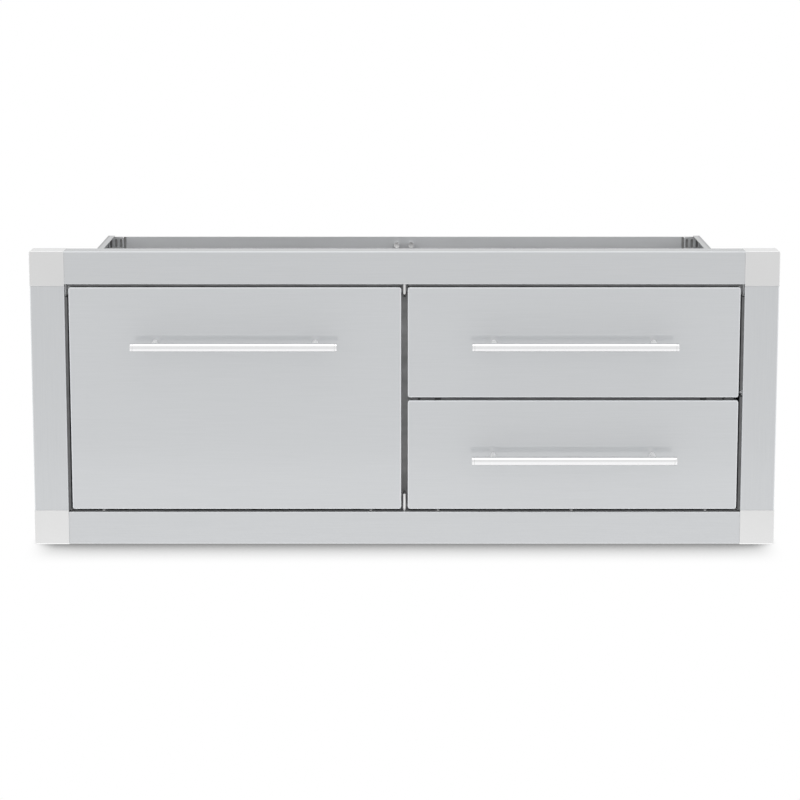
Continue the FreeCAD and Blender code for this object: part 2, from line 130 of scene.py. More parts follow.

# The flange along the top of a carcass side: dull with painted shade, and a darker painted line of shade
# along its bend
LEDGE_SHADE = 0.88
LEDGE_BEND_SHADE = 0.68
LEDGE_FADE = 1.6 * MM
LEDGE_BEND_START = 479.2 * MM
LEDGE_BEND_END = 480.2 * MM

# The painted highlight round the rim of a front, measured inwards from its edge
RIM_HIGHLIGHT = 1.13
RIM_FULL = 1.0 * MM
RIM_END = 2.6 * MM


class Recipe:
    """A node material under construction: adds nodes and joins their sockets."""

    def __init__(self, name):
        self.material = bpy.data.materials.new(name)
        self.material.use_nodes = True
        self.tree = self.material.node_tree
        self.shader = self.tree.nodes["Principled BSDF"]
        self.output = self.tree.nodes["Material Output"]

    def put(self, socket, value):
        """Feeds a socket from another one, or sets it to a plain value."""
        if isinstance(value, bpy.types.NodeSocket):
            self.tree.links.new(value, socket)
        else:
            socket.default_value = value

    def add(self, kind, **settings):
        """A new node. A setting that names an input goes there, and any other is the node's own."""
        node = self.tree.nodes.new(kind)
        for key, value in settings.items():
            name = key.replace("_", " ")
            socket = node.inputs.get(name) or node.inputs.get(name.title())
            if socket is None:
                setattr(node, key, value)
            else:
                self.put(socket, value)
        return node

    def feed(self, socket, source):
        """Joins a result to an input of the shader."""
        self.tree.links.new(source, self.shader.inputs[socket])

    def fix(self, **values):
        """Sets inputs of the shader that are the same all over the surface."""
        for key, value in values.items():
            self.shader.inputs[key.replace("_", " ")].default_value = value

    def coordinate(self, axis):
        """The place along X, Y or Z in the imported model."""
        place = self.add("ShaderNodeTexCoord").outputs["Object"]
        return self.add("ShaderNodeSeparateXYZ", Vector=place).outputs[axis]

    def streaks(self, stretch, detail=2.0):
        """Noise drawn out into streaks: stretch is its frequency along X, Y and Z."""
        place = self.add("ShaderNodeTexCoord").outputs["Object"]
        drawn = self.add("ShaderNodeMapping", Vector=place, Scale=stretch)
        noise = self.add("ShaderNodeTexNoise", Vector=drawn.outputs["Vector"], Scale=1.0, Detail=detail)
        return noise.outputs["Fac"]

    def specks(self, fineness, detail=2.0):
        """Noise that is equally fine in all directions."""
        return self.streaks((fineness, fineness, fineness), detail)

    def span(self, source, low, high, from_low=NOISE_LOW, from_high=NOISE_HIGH, curve="LINEAR"):
        """Maps a value onto the range low to high."""
        node = self.add(
            "ShaderNodeMapRange", interpolation_type=curve, Value=source,
            From_Min=from_low, From_Max=from_high, To_Min=low, To_Max=high,
        )
        return node.outputs["Result"]

    def combine(self, operation, *values):
        """What a Math node makes of some values, each a socket or a number."""
        node = self.add("ShaderNodeMath", operation=operation)
        for socket, value in zip(node.inputs, values):
            self.put(socket, value)
        return node.outputs[0]

    def blend(self, share, first, second):
        """A colour between two others, each a socket or the four numbers of a colour."""
        node = self.add("ShaderNodeMix", data_type="RGBA", clamp_factor=True)
        self.put(node.inputs[MIX_SHARE], share)
        self.put(node.inputs[MIX_FIRST], first)
        self.put(node.inputs[MIX_SECOND], second)
        return node.outputs[MIX_RESULT]

    def mottled(self, share, colour, contrast):
        """A colour that varies by the given contrast to its darker and its lighter side."""
        dark = tuple(part * (1 - contrast) for part in colour)
        light = tuple(min(1, part * (1 + contrast)) for part in colour)
        return self.blend(share, (*dark, 1), (*light, 1))

    def scaled(self, colour, share):
        """A colour times a number that varies over the surface."""
        node = self.add("ShaderNodeVectorMath", operation="SCALE", Scale=share)
        self.tree.links.new(colour, node.inputs[0])
        return node.outputs["Vector"]

    def bend_highlight_flange_shade(self, colour, flange):
        """A colour with a painted highlight on the bend just behind the face, and painted shade on the
        flange.
        """
        depth = self.coordinate("Y")
        bend = self.span(depth, 1.0, BEND_HIGHLIGHT, FACE_PLANE + BEND_START, FACE_PLANE + BEND_FULL)
        behind = self.span(
            depth, 1.0, flange / BEND_HIGHLIGHT, FACE_PLANE + BEND_END, FACE_PLANE + FLANGE_START
        )
        return self.scaled(self.scaled(colour, bend), behind)

    def rim_highlighted(self, colour, low, high):
        """A colour with a painted highlight in a narrow rim round a front between two corners."""
        x = self.coordinate("X")
        z = self.coordinate("Z")
        inside = self.combine("SUBTRACT", x, low.x)
        inside = self.combine("MINIMUM", inside, self.combine("SUBTRACT", high.x, x))
        inside = self.combine("MINIMUM", inside, self.combine("SUBTRACT", z, low.z))
        inside = self.combine("MINIMUM", inside, self.combine("SUBTRACT", high.z, z))
        return self.scaled(colour, self.span(inside, RIM_HIGHLIGHT, 1.0, RIM_FULL, RIM_END))

    def ledge_shaded(self, colour, top):
        """A colour with painted shade on a flange whose upper side is at height top, and a darker painted
        line along its bend.
        """
        height = self.coordinate("Z")
        start = top - LEDGE_FADE
        end = top - LEDGE_FADE / 2
        upper = self.span(height, 1.0, LEDGE_SHADE, start, end)
        there = self.span(height, 0.0, 1.0, start, end)
        across = self.combine("ABSOLUTE", self.coordinate("X"))
        bend = self.span(across, 0.0, LEDGE_BEND_SHADE - LEDGE_SHADE, LEDGE_BEND_START, LEDGE_BEND_END)
        line = self.combine("MULTIPLY", bend, there)
        return self.scaled(colour, self.combine("ADD", upper, line))

    def bump(self, height, depth):
        """Raises the surface by depth where the height is 1."""
        node = self.add("ShaderNodeBump", Height=height, Distance=depth, Strength=1.0)
        self.feed("Normal", node.outputs["Normal"])


# Materials: the kinds of finish

# Frequencies per metre along and across the brushing, of the fine grain and of the broad bands
GRAIN_LENGTH = 14.0
GRAIN_FINENESS = 2600.0
BAND_LENGTH = 5.0
BAND_FINENESS = 60.0
BAND_SHARE = 0.4
FINE_DETAIL = 3.0

# How deep the grain or skin of a surface is
GRAIN_DEPTH = 0.02 * MM
SATIN_DEPTH = 0.01 * MM
POLISH_DEPTH = 0.004 * MM
RUBBER_DEPTH = 0.02 * MM

# The clear film on the frame and the fronts
FILM_INDEX = 2.0
FILM_ROUGHNESS = 0.06
RAIL_FILM = 0.5
FRONT_FILM = 1.0

SATIN_FINENESS = 900.0
SATIN_CLOUDS = 9.0
SATIN_CONTRAST = 0.015
SATIN_SPREAD = 0.1

# How far the painted highlights on the corner pieces reach, from the lowest and the highest edge of the
# unit
FOOT_HIGHLIGHT = 1.0 * MM
FOOT_PLAIN = 1.8 * MM
HEAD_PLAIN = 1.2 * MM
HEAD_HIGHLIGHT = 0.4 * MM

RUBBER_MOTTLE = 60.0
RUBBER_SKIN = 1500.0
RUBBER_CONTRAST = 0.15
RUBBER_SMOOTHEST = 0.62
RUBBER_ROUGHEST = 0.78

# The painted light on the ends of the grey strip on the post beside the fins, from the foot and the head
# of the opening
FIN_LIGHT_FOOT = 22.0 * MM
FIN_LIGHT_FOOT_END = 25.0 * MM
FIN_LIGHT_HEAD = 13.0 * MM
FIN_LIGHT_HEAD_END = 16.0 * MM


def along(axis, slow, fast):
    """Frequencies for streaks along one axis."""
    return tuple(slow if name == axis else fast for name in "XYZ")


def brushed_steel(
    name, axis, colour, roughness, contrast=0.012, depth=GRAIN_DEPTH, spread=0.12,
    film=None, flange=None, rim=None, ledge=None,
):
    """Stainless steel brushed along one axis: fine grain with faint broad bands.

    spread is the share by which the roughness varies. film is the weight of a thin clear film that
    resists finger marks. flange is the share of the brightness that is left on the parts bent back behind
    the face, as painted shade, below a painted highlight on the bend. rim is the pair of corners of a
    front whose outer edge gets a painted highlight. ledge is the height of the upper side of a flange
    that gets painted shade.
    """
    recipe = Recipe(name)
    grain = recipe.streaks(along(axis, GRAIN_LENGTH, GRAIN_FINENESS), FINE_DETAIL)
    bands = recipe.streaks(along(axis, BAND_LENGTH, BAND_FINENESS))
    mixed = recipe.combine("MULTIPLY_ADD", bands, BAND_SHARE, grain)
    lowest = NOISE_LOW + NOISE_LOW * BAND_SHARE
    highest = NOISE_HIGH + NOISE_HIGH * BAND_SHARE
    shade = recipe.mottled(recipe.span(mixed, 0.0, 1.0, lowest, highest), colour, contrast)
    # A painted highlight on the bend and painted shade on the flange behind it
    if flange:
        shade = recipe.bend_highlight_flange_shade(shade, flange)
    # A painted highlight round the rim of a front
    if rim:
        shade = recipe.rim_highlighted(shade, *rim)
    # Painted shade on the upper side of a flange and a darker painted line along its bend
    if ledge:
        shade = recipe.ledge_shaded(shade, ledge)
    recipe.feed("Base Color", shade)
    recipe.feed("Roughness", recipe.span(grain, roughness * (1 - spread), roughness * (1 + spread)))
    recipe.bump(grain, depth)
    recipe.fix(Metallic=1.0)
    if film:
        recipe.fix(Coat_Weight=film, Coat_Roughness=FILM_ROUGHNESS, Coat_IOR=FILM_INDEX)
    return recipe.material


def satin_metal(name, colour, roughness, foot=None, head=None):
    """A fine matt metal surface with no direction, such as a bead-blasted or a plated one.

    foot and head say how much brighter the metal is painted along the lowest and the highest edge of
    the unit, as painted highlights.
    """
    recipe = Recipe(name)
    specks = recipe.specks(SATIN_FINENESS, FINE_DETAIL)
    clouds = recipe.specks(SATIN_CLOUDS)
    shade = recipe.mottled(recipe.span(clouds, 0.0, 1.0), colour, SATIN_CONTRAST)
    # Painted highlights along the lowest and the highest edge of the unit
    if foot:
        start = cad_low.z + FOOT_HIGHLIGHT
        end = cad_low.z + FOOT_PLAIN
        shade = recipe.scaled(shade, recipe.span(recipe.coordinate("Z"), foot, 1.0, start, end))
    if head:
        start = cad_high.z - HEAD_PLAIN
        end = cad_high.z - HEAD_HIGHLIGHT
        shade = recipe.scaled(shade, recipe.span(recipe.coordinate("Z"), 1.0, head, start, end))
    recipe.feed("Base Color", shade)
    smoothest = roughness * (1 - SATIN_SPREAD)
    recipe.feed("Roughness", recipe.span(specks, smoothest, roughness * (1 + SATIN_SPREAD)))
    recipe.bump(specks, SATIN_DEPTH)
    recipe.fix(Metallic=1.0)
    return recipe.material


def matt_rubber(name, colour, ends=None):
    """Extruded rubber or plain plastic: matt, with a faint mottle and a fine skin.

    ends is how much brighter the strip on the post is painted beside the fins at its foot and its head,
    as painted light from the fins.
    """
    recipe = Recipe(name)
    mottle = recipe.specks(RUBBER_MOTTLE)
    skin = recipe.specks(RUBBER_SKIN, FINE_DETAIL)
    shade = recipe.mottled(recipe.span(mottle, 0.0, 1.0), colour, RUBBER_CONTRAST)
    # Painted light beside the fins at both ends of the strip
    if ends:
        low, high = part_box("locating_tabs")
        height = recipe.coordinate("Z")
        foot = recipe.span(height, ends, 1.0, low.z + FIN_LIGHT_FOOT, low.z + FIN_LIGHT_FOOT_END)
        head = recipe.span(height, 1.0, ends, high.z - FIN_LIGHT_HEAD_END, high.z - FIN_LIGHT_HEAD)
        shade = recipe.scaled(recipe.scaled(shade, foot), head)
    recipe.feed("Base Color", shade)
    recipe.feed("Roughness", recipe.span(skin, RUBBER_SMOOTHEST, RUBBER_ROUGHEST))
    recipe.bump(skin, RUBBER_DEPTH)
    return recipe.material


# Materials: the finishes of this unit

FRONT_COLOUR = (0.564, 0.576, 0.589)
RAIL_COLOUR = (0.540, 0.551, 0.563)
CORNER_COLOUR = (0.655, 0.655, 0.655)
CARCASS_COLOUR = (0.760, 0.768, 0.780)
SIDE_COLOUR = (0.60, 0.606, 0.612)
BOX_COLOUR = (0.56, 0.568, 0.575)
SHALLOW_BOX_COLOUR = (0.49, 0.498, 0.505)
BAR_COLOUR = (0.76, 0.76, 0.765)
BAR_POST_COLOUR = (0.92, 0.92, 0.92)
ZINC_COLOUR = (0.62, 0.63, 0.65)
REAR_POST_COLOUR = (0.93, 0.935, 0.94)
SCREW_COLOUR = (0.66, 0.665, 0.67)
SILL_SCREW_COLOUR = (0.42, 0.42, 0.42)
FIN_COLOUR = (0.66, 0.66, 0.66)
SEAL_COLOUR = (0.112, 0.113, 0.115)
POST_SEAL_COLOUR = (0.45, 0.45, 0.455)
# Colour of the dark strips that stand for shade in the rear posts: painted shade
SLOT_SHADE_COLOUR = (0.20, 0.20, 0.20)
BUMPER_COLOUR = (0.02, 0.02, 0.02)
CAP_COLOUR = (0.62, 0.62, 0.62)

# Share of the brightness left on the flanges behind the faces: painted shade
RAIL_FLANGE_SHADE = 0.82
FRONT_FLANGE_SHADE = 0.9
SIDE_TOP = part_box("left_side_panel")[1].z

# The keys of the first group are material slots of the record, and the others are used here alone
FINISHES = {
    "frame_steel": brushed_steel(
        "brushed_level_rail_steel", "X", RAIL_COLOUR, roughness=0.60, film=RAIL_FILM, flange=RAIL_FLANGE_SHADE
    ),
    # The corner pieces get painted highlights along the lowest and the highest edge of the unit
    "corner_cast": satin_metal("satin_corner_metal", CORNER_COLOUR, roughness=0.42, foot=1.3, head=1.14),
    "carcass_steel": brushed_steel(
        "mill_carcass_steel", "X", CARCASS_COLOUR, roughness=0.55, contrast=0.03
    ),
    "box_steel": brushed_steel("mill_box_steel", "Y", BOX_COLOUR, roughness=0.40, contrast=0.03),
    "polished_bar": brushed_steel(
        "polished_bar_steel", "X", BAR_COLOUR, roughness=0.22, contrast=0.01, depth=POLISH_DEPTH
    ),
    "bright_zinc": satin_metal("bright_zinc_plate", ZINC_COLOUR, roughness=0.30),
    "screw_steel": satin_metal("turned_screw_steel", SCREW_COLOUR, roughness=0.25),

    "upright_rail": brushed_steel(
        "brushed_side_rail_steel", "Z", RAIL_COLOUR, roughness=0.60, film=RAIL_FILM, flange=RAIL_FLANGE_SHADE
    ),
    # Painted shade on the flange along the top of each carcass side
    "carcass_side": brushed_steel(
        "mill_side_steel", "Y", SIDE_COLOUR, roughness=0.45, contrast=0.03, ledge=SIDE_TOP
    ),
    "shallow_box": brushed_steel(
        "shallow_box_steel", "Y", SHALLOW_BOX_COLOUR, roughness=0.40, contrast=0.03
    ),
    "bar_post": brushed_steel(
        "turned_post_steel", "Y", BAR_POST_COLOUR, roughness=0.55, contrast=0.01, depth=POLISH_DEPTH
    ),
    "rear_post": satin_metal("slotted_post_zinc", REAR_POST_COLOUR, roughness=0.30),
    "fin": satin_metal("pale_fin_metal", FIN_COLOUR, roughness=0.35),
    "sill_screw": satin_metal("dull_sill_screw_metal", SILL_SCREW_COLOUR, roughness=0.35),
    "seal": matt_rubber("seal_rubber", SEAL_COLOUR),
    # The strip on the post gets painted light at both ends, beside the fins
    "post_seal": matt_rubber("grey_post_rubber", POST_SEAL_COLOUR, ends=1.8),
    # Strips that stand for shade in the rear posts: painted shade
    "slot_shade": matt_rubber("painted_shade_strip", SLOT_SHADE_COLOUR),
    "bumper": matt_rubber("bumper_rubber", BUMPER_COLOUR),
    "cap": matt_rubber("pale_cap_plastic", CAP_COLOUR),
}
OWN_FINISH = {
    "frame_left_rail": "upright_rail",
    "frame_right_rail": "upright_rail",
    "left_side_panel": "carcass_side",
    "right_side_panel": "carcass_side",
    "locating_tabs": "box_steel",
    "left_rear_post": "rear_post",
    "right_rear_post": "rear_post",
    "right_top_box_tray": "shallow_box",
    "right_top_box_back": "shallow_box",
}
for drawer in DRAWERS:
    front = drawer + "_front"
    OWN_FINISH[front] = front
    # Each front gets painted shade on its flange and a painted highlight round its rim
    FINISHES[front] = brushed_steel(
        drawer + "_brushed_front_steel", "X", FRONT_COLOUR, roughness=0.72, contrast=0.006,
        depth=SATIN_DEPTH, spread=0.05, film=FRONT_FILM, flange=FRONT_FLANGE_SHADE, rim=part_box(front),
    )


def dress_cad_nodes():
    """Gives every CAD node the finish of its slot, or its own one."""
    for subpart in frame["record"]["subparts"]:
        name = subpart["node"]
        finish = OWN_FINISH.get(name, subpart["material_slot"])
        for entry in frame["nodes"][name].material_slots:
            entry.material = FINISHES[finish]


# Tools for the added pieces

MERGE_DISTANCE = 1e-7
SHARP_ANGLE = math.radians(35)
EASED_ANGLE = math.radians(30)
TRIM_ROUND = 0.3 * MM
ACROSS = (1, 0, 0)
INWARDS = (0, 1, 0)


def smooth_piece(name, build, finish, body, replaced=()):
    """Turns a finished bmesh into a shown piece that rides on a body of the frame."""
    bmesh.ops.remove_doubles(build, verts=build.verts, dist=MERGE_DISTANCE)
    bmesh.ops.recalc_face_normals(build, faces=build.faces)
    mesh = bpy.data.meshes.new(name)
    build.to_mesh(mesh)
    build.free()
    mesh.materials.append(FINISHES[finish])
    mesh.shade_smooth()
    mesh.set_sharp_from_angle(angle=SHARP_ANGLE)
    piece = bpy.data.objects.new(name, mesh)
    bpy.context.scene.collection.objects.link(piece)
    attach(piece, body)
    if replaced:
        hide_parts(*replaced)


def trim_piece(name, build, finish, body="root", radius=TRIM_ROUND):
    """Rounds every sharp edge of a strip or block a little, and shows it as a piece."""
    bmesh.ops.recalc_face_normals(build, faces=build.faces)
    sharp = [edge for edge in build.edges if edge.is_manifold and edge.calc_face_angle() > EASED_ANGLE]
    bmesh.ops.bevel(
        build, geom=sharp, offset=radius, segments=2, profile=0.5, affect="EDGES", material=-1
    )
    smooth_piece(name, build, finish, body)


def turned(build, profile, centre, segments, axis):
    """Spins a profile of (distance along the axis, radius) points round a level axis through centre."""
    verts = []
    for distance, radius in profile:
        verts.append(build.verts.new(centre + Vector(axis) * distance + Vector((0, 0, radius))))
    edges = [build.edges.new(pair) for pair in zip(verts, verts[1:])]
    bmesh.ops.spin(
        build, geom=verts + edges, cent=centre, axis=axis,
        angle=2 * math.pi, steps=segments, use_merge=True,
    )


def prism(build, corners, run):
    """Draws a flat outline out along run."""
    verts = [build.verts.new(corner) for corner in corners]
    face = build.faces.new(verts)
    grown = bmesh.ops.extrude_face_region(build, geom=[face])
    moved = [item for item in grown["geom"] if isinstance(item, bmesh.types.BMVert)]
    bmesh.ops.translate(build, verts=moved, vec=run)


def block(build, low, high):
    """A plain bar between two corners."""
    (x0, y0, z0), (x1, y1, z1) = low, high
    prism(build, [(x0, y0, z0), (x1, y0, z0), (x1, y1, z0), (x0, y1, z0)], (0, 0, z1 - z0))


def from_to(side, inner, outer):
    """The lower and the higher X of a stretch on one side, given by its distances from the middle."""
    return sorted((side * inner, side * outer))


# Handles

BAR_SEGMENTS = 64
POST_SEGMENTS = 40
BAR_GROOVE = 0.35 * MM
CAP_ROUND = 0.4 * MM
CAP_BULGE = 0.3


def handle(drawer):
    """A polished bar with a turned ring and a domed cap at each end, on two posts."""
    body = drawer + "_drawer"
    low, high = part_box(drawer + "_handle_bar")
    caps_low, caps_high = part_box(drawer + "_handle_ends")
    posts_low, posts_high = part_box(drawer + "_handle_posts")
    centre = (low + high) / 2
    radius = min(high.y - low.y, high.z - low.z) / 2
    half_tube = (high.x - low.x) / 2
    half_bar = (caps_high.x - caps_low.x) / 2

    build = bmesh.new()
    profile = [
        (-half_tube, 0), (-half_tube, radius - BAR_GROOVE), (-half_tube + BAR_GROOVE, radius),
        (half_tube - BAR_GROOVE, radius), (half_tube, radius - BAR_GROOVE), (half_tube, 0),
    ]
    turned(build, profile, centre, BAR_SEGMENTS, ACROSS)
    smooth_piece(
        drawer + "_bar_tube", build, "polished_bar", body, [drawer + "_handle_bar"]
    )

    build = bmesh.new()
    bulge = CAP_ROUND * CAP_BULGE
    for side in SIDES:
        profile = [
            (side * half_tube, 0), (side * half_tube, radius - BAR_GROOVE),
            (side * (half_tube + BAR_GROOVE), radius), (side * (half_bar - CAP_ROUND), radius),
            (side * (half_bar - bulge), radius - bulge), (side * half_bar, radius - CAP_ROUND),
            (side * half_bar, 0),
        ]
        turned(build, profile, centre, BAR_SEGMENTS, ACROSS)
    smooth_piece(
        drawer + "_bar_caps", build, "polished_bar", body, [drawer + "_handle_ends"]
    )

    build = bmesh.new()
    post_radius = (posts_high.z - posts_low.z) / 2
    length = posts_high.y - posts_low.y
    profile = [(-length, 0), (-length, post_radius), (0, post_radius), (0, 0)]
    for x in (posts_low.x + post_radius, posts_high.x - post_radius):
        turned(build, profile, Vector((x, posts_high.y, centre.z)), POST_SEGMENTS, INWARDS)
    smooth_piece(
        drawer + "_bar_posts", build, "bar_post", body, [drawer + "_handle_posts"]
    )


# Rubber strips and screws round the opening

# FRONT and BACK are distances behind the face of the frame, START is one from the middle, and HEAD_GAP
# one below the head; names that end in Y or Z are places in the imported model
SIDE_SEAL_FRONT = 2.0 * MM
SIDE_SEAL_WIDTH = 3.6 * MM
SIDE_SEAL_REAR_Y = -8.6 * MM
SIDE_SEAL_HEAD_GAP = 16.0 * MM
SIDE_SCREW_Z = 173.6 * MM
SIDE_SCREW_GAP = 5.0 * MM
HEAD_SEAL_START = 6.0 * MM
HEAD_SEAL_FRONT = 3.0 * MM
HEAD_SEAL_HEIGHT = 3.0 * MM
SILL_SEAL_START = 2.4 * MM
SILL_SEAL_FRONT = 1.2 * MM
SILL_SEAL_HEIGHT = 1.2 * MM
SILL_SCREW_PLACES = (-0.434, -0.0485, 0.0485, 0.241, 0.434)
SILL_SCREW_BACK = 5.5 * MM
SILL_SCREW_Z = 1.9 * MM
SILL_SCREW_FOOT_RADIUS = 2.9 * MM
SILL_SCREW_TOP_RADIUS = 2.0 * MM
SILL_SCREW_HEIGHT = 1.8 * MM
SILL_SCREW_ROUND = 0.2 * MM
SILL_SCREW_SEGMENTS = 24
POST_SEAL_HALF = 9.0 * MM
POST_SEAL_THICKNESS = 1.2 * MM
POST_SEAL_FOOT_Z = 1.4 * MM
POST_SEAL_HEAD_GAP = 0.2 * MM

HALF_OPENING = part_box("frame_right_rail")[0].x
SEAL_FACE = HALF_OPENING - SIDE_SEAL_WIDTH


def side_seals():
    """Stepped strips on both sides of the opening; the right one leaves room for the side's screw."""
    rail_low, rail_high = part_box("frame_right_rail")
    panel_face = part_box("locating_tabs")[1].x
    panel_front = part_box("right_side_panel")[0].y
    front = FACE_PLANE + SIDE_SEAL_FRONT
    outline = [
        (HALF_OPENING, front), (SEAL_FACE, front), (SEAL_FACE, SIDE_SEAL_REAR_Y),
        (panel_face, SIDE_SEAL_REAR_Y), (panel_face, panel_front), (HALF_OPENING, panel_front),
    ]
    foot = rail_low.z
    head = rail_high.z - SIDE_SEAL_HEAD_GAP
    stretches = (
        (-1, foot, head),
        (1, foot, SIDE_SCREW_Z - SIDE_SCREW_GAP),
        (1, SIDE_SCREW_Z + SIDE_SCREW_GAP, head),
    )
    build = bmesh.new()
    for side, start, end in stretches:
        prism(build, [(side * x, y, start) for x, y in outline], (0, 0, end - start))
    trim_piece("side_seals", build, "seal")


def head_seals():
    """Strips under the top rail, above the fronts."""
    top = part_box("centre_post")[1].z
    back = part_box("locating_tabs")[0].y
    build = bmesh.new()
    for side in SIDES:
        x0, x1 = from_to(side, HEAD_SEAL_START, SEAL_FACE)
        block(build, (x0, FACE_PLANE + HEAD_SEAL_FRONT, top - HEAD_SEAL_HEIGHT), (x1, back, top))
    trim_piece("head_seals", build, "seal")


def sill_seals():
    """Low strips on the bottom rail, under the fronts."""
    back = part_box("base_panel")[0].y
    build = bmesh.new()
    for side in SIDES:
        x0, x1 = from_to(side, SILL_SEAL_START, SEAL_FACE)
        block(build, (x0, FACE_PLANE + SILL_SEAL_FRONT, 0), (x1, back, SILL_SEAL_HEIGHT))
    trim_piece("sill_seals", build, "seal")


def sill_seal_screws():
    """Low tapered screw heads along the sill."""
    build = bmesh.new()
    for x in SILL_SCREW_PLACES:
        bmesh.ops.create_cone(
            build, cap_ends=True, segments=SILL_SCREW_SEGMENTS,
            radius1=SILL_SCREW_FOOT_RADIUS, radius2=SILL_SCREW_TOP_RADIUS, depth=SILL_SCREW_HEIGHT,
            matrix=Matrix.Translation((x, FACE_PLANE + SILL_SCREW_BACK, SILL_SCREW_Z)),
        )
    trim_piece("sill_seal_screws", build, "sill_screw", radius=SILL_SCREW_ROUND)


def post_seal():
    """A grey strip on the front of the centre post."""
    low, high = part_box("centre_post")
    build = bmesh.new()
    block(
        build, (-POST_SEAL_HALF, low.y - POST_SEAL_THICKNESS, POST_SEAL_FOOT_Z),
        (POST_SEAL_HALF, low.y, high.z - POST_SEAL_HEAD_GAP),
    )
    trim_piece("post_seal", build, "post_seal")


# Lip between the two right fronts

LIP_INSET = 6.0 * MM
LIP_FRONT = 5.0 * MM
LIP_DEPTH = 6.0 * MM
LIP_HEIGHT = 2.7 * MM
BUMPER_FORWARD = 1.0 * MM
BUMPER_RISE = 0.6 * MM
# The place along X and the width of each bumper
BUMPERS = ((0.0213, 3.0 * MM), (0.0478, 9.0 * MM), (0.4285, 9.0 * MM), (0.4570, 3.0 * MM))


def stack_lip():
    """A rubber lip with bumpers along the top of the lower right front."""
    low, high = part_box("right_bottom_front")
    front = low.y + LIP_FRONT
    back = front + LIP_DEPTH
    top = high.z + LIP_HEIGHT
    build = bmesh.new()
    block(build, (low.x + LIP_INSET, front, high.z), (high.x - LIP_INSET, back, top))
    trim_piece("stack_lip", build, "seal", body="right_bottom_drawer")

    build = bmesh.new()
    for x, width in BUMPERS:
        block(
            build, (x - width / 2, front - BUMPER_FORWARD, high.z),
            (x + width / 2, back, top + BUMPER_RISE),
        )
    trim_piece("stack_bumpers", build, "bumper", body="right_bottom_drawer")


# Fins between the bays

# FOOT and HEAD are how far each fin reaches up or down from the ends of the opening
FIN_HALF = 1.7 * MM
FIN_FRONT = 5.0 * MM
FIN_FOOT = 24.5 * MM
FIN_HEAD = 15.0 * MM
FIN_STEPS = 8
# A dark block of painted shadow under the end of the upper fin
TIP_LENGTH = 4.2 * MM
TIP_BACK = 2.0 * MM
TIP_GAP = 0.1 * MM


def centre_fins():
    """Two pale fins that stand out from the post, one at its foot and one at its head, with a dark tip of
    painted shadow under the end of the upper one.
    """
    tab_low, tab_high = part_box("locating_tabs")
    base_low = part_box("base_panel")[0]
    front = FACE_PLANE + FIN_FRONT
    back = tab_low.y
    lower_end = tab_low.z + FIN_FOOT
    upper_end = tab_high.z - FIN_HEAD
    build = bmesh.new()
    for start, end, way, near, far in (
        (base_low.z, lower_end, 1, front, base_low.y),
        (tab_low.z, lower_end, 1, base_low.y, back),
        (tab_high.z, upper_end, -1, front, back),
    ):
        shoulder = end - way * FIN_HALF
        outline = [(-FIN_HALF, start), (FIN_HALF, start)]
        for step in range(FIN_STEPS + 1):
            turn = math.pi * step / FIN_STEPS
            outline.append((FIN_HALF * math.cos(turn), shoulder + way * FIN_HALF * math.sin(turn)))
        prism(build, [(x, near, z) for x, z in outline], (0, far - near, 0))
    trim_piece("centre_fins", build, "fin")

    # The dark tip: painted shadow under the end of the upper fin
    build = bmesh.new()
    block(
        build, (-FIN_HALF, front + TIP_BACK, upper_end - TIP_LENGTH),
        (FIN_HALF, back, upper_end - TIP_GAP),
    )
    trim_piece("fin_shadow_tip", build, "bumper")


# Trim of the back: plugs with caps, and dark strips of painted shade behind the slots of the posts and
# where the posts meet the back

HOLE_X = 11.75 * MM
HOLE_Z = 317.8 * MM
PLUG_SEGMENTS = 40
PLUG_RADIUS = 3.45 * MM
CAP_RADIUS = 4.6 * MM
CAP_HEIGHT = 1.6 * MM
CAP_LIP = 0.2 * MM
CAP_FLOOR = 1.0 * MM
POST_SHEET = 1.2 * MM
# Strips of painted shade behind the slots and in the corners of the rear posts
SLOT_SHADE_INSET = 1.6 * MM
CORNER_SHADE_WIDTH = 3.0 * MM
CORNER_SHADE_DEPTH = 2.0 * MM


def back_plugs():
    """A rubber plug in each of the two holes of the back, and a dished plastic cap in front of it."""
    low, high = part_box("back_panel")
    sheet = high.y - low.y
    plug = [(-sheet, 0), (-sheet, PLUG_RADIUS), (0, PLUG_RADIUS), (0, 0)]
    cap = [
        (0, 0), (0, CAP_RADIUS), (-CAP_HEIGHT, CAP_RADIUS), (-CAP_HEIGHT - CAP_LIP, CAP_RADIUS - CAP_LIP),
        (-CAP_HEIGHT, CAP_RADIUS - 2 * CAP_LIP), (-CAP_LIP, CAP_FLOOR), (-CAP_LIP, 0),
    ]
    for name, profile, y, finish in (
        ("back_plugs", plug, high.y, "seal"),
        ("back_caps", cap, low.y, "cap"),
    ):
        build = bmesh.new()
        for side in SIDES:
            turned(build, profile, Vector((side * HOLE_X, y, HOLE_Z)), PLUG_SEGMENTS, INWARDS)
        smooth_piece(name, build, finish, "root")


def slot_shade_strips():
    """Dark strips of painted shade behind the slots of the rear posts, and where each post meets the
    back.
    """
    strips = bmesh.new()
    corner_shades = bmesh.new()
    for side, name in zip(SIDES, ("left_rear_post", "right_rear_post")):
        low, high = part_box(name)
        block(
            strips, (low.x + SLOT_SHADE_INSET, low.y + POST_SHEET, low.z),
            (high.x - SLOT_SHADE_INSET, low.y + 2 * POST_SHEET, high.z),
        )
        inner = min(abs(low.x), abs(high.x))
        x0, x1 = from_to(side, inner, inner - CORNER_SHADE_WIDTH)
        block(corner_shades, (x0, high.y - CORNER_SHADE_DEPTH, low.z), (x1, high.y, high.z))
    trim_piece("slot_shade_strips", strips, "slot_shade")
    trim_piece("post_corner_shades", corner_shades, "slot_shade")


# Floor, light and background

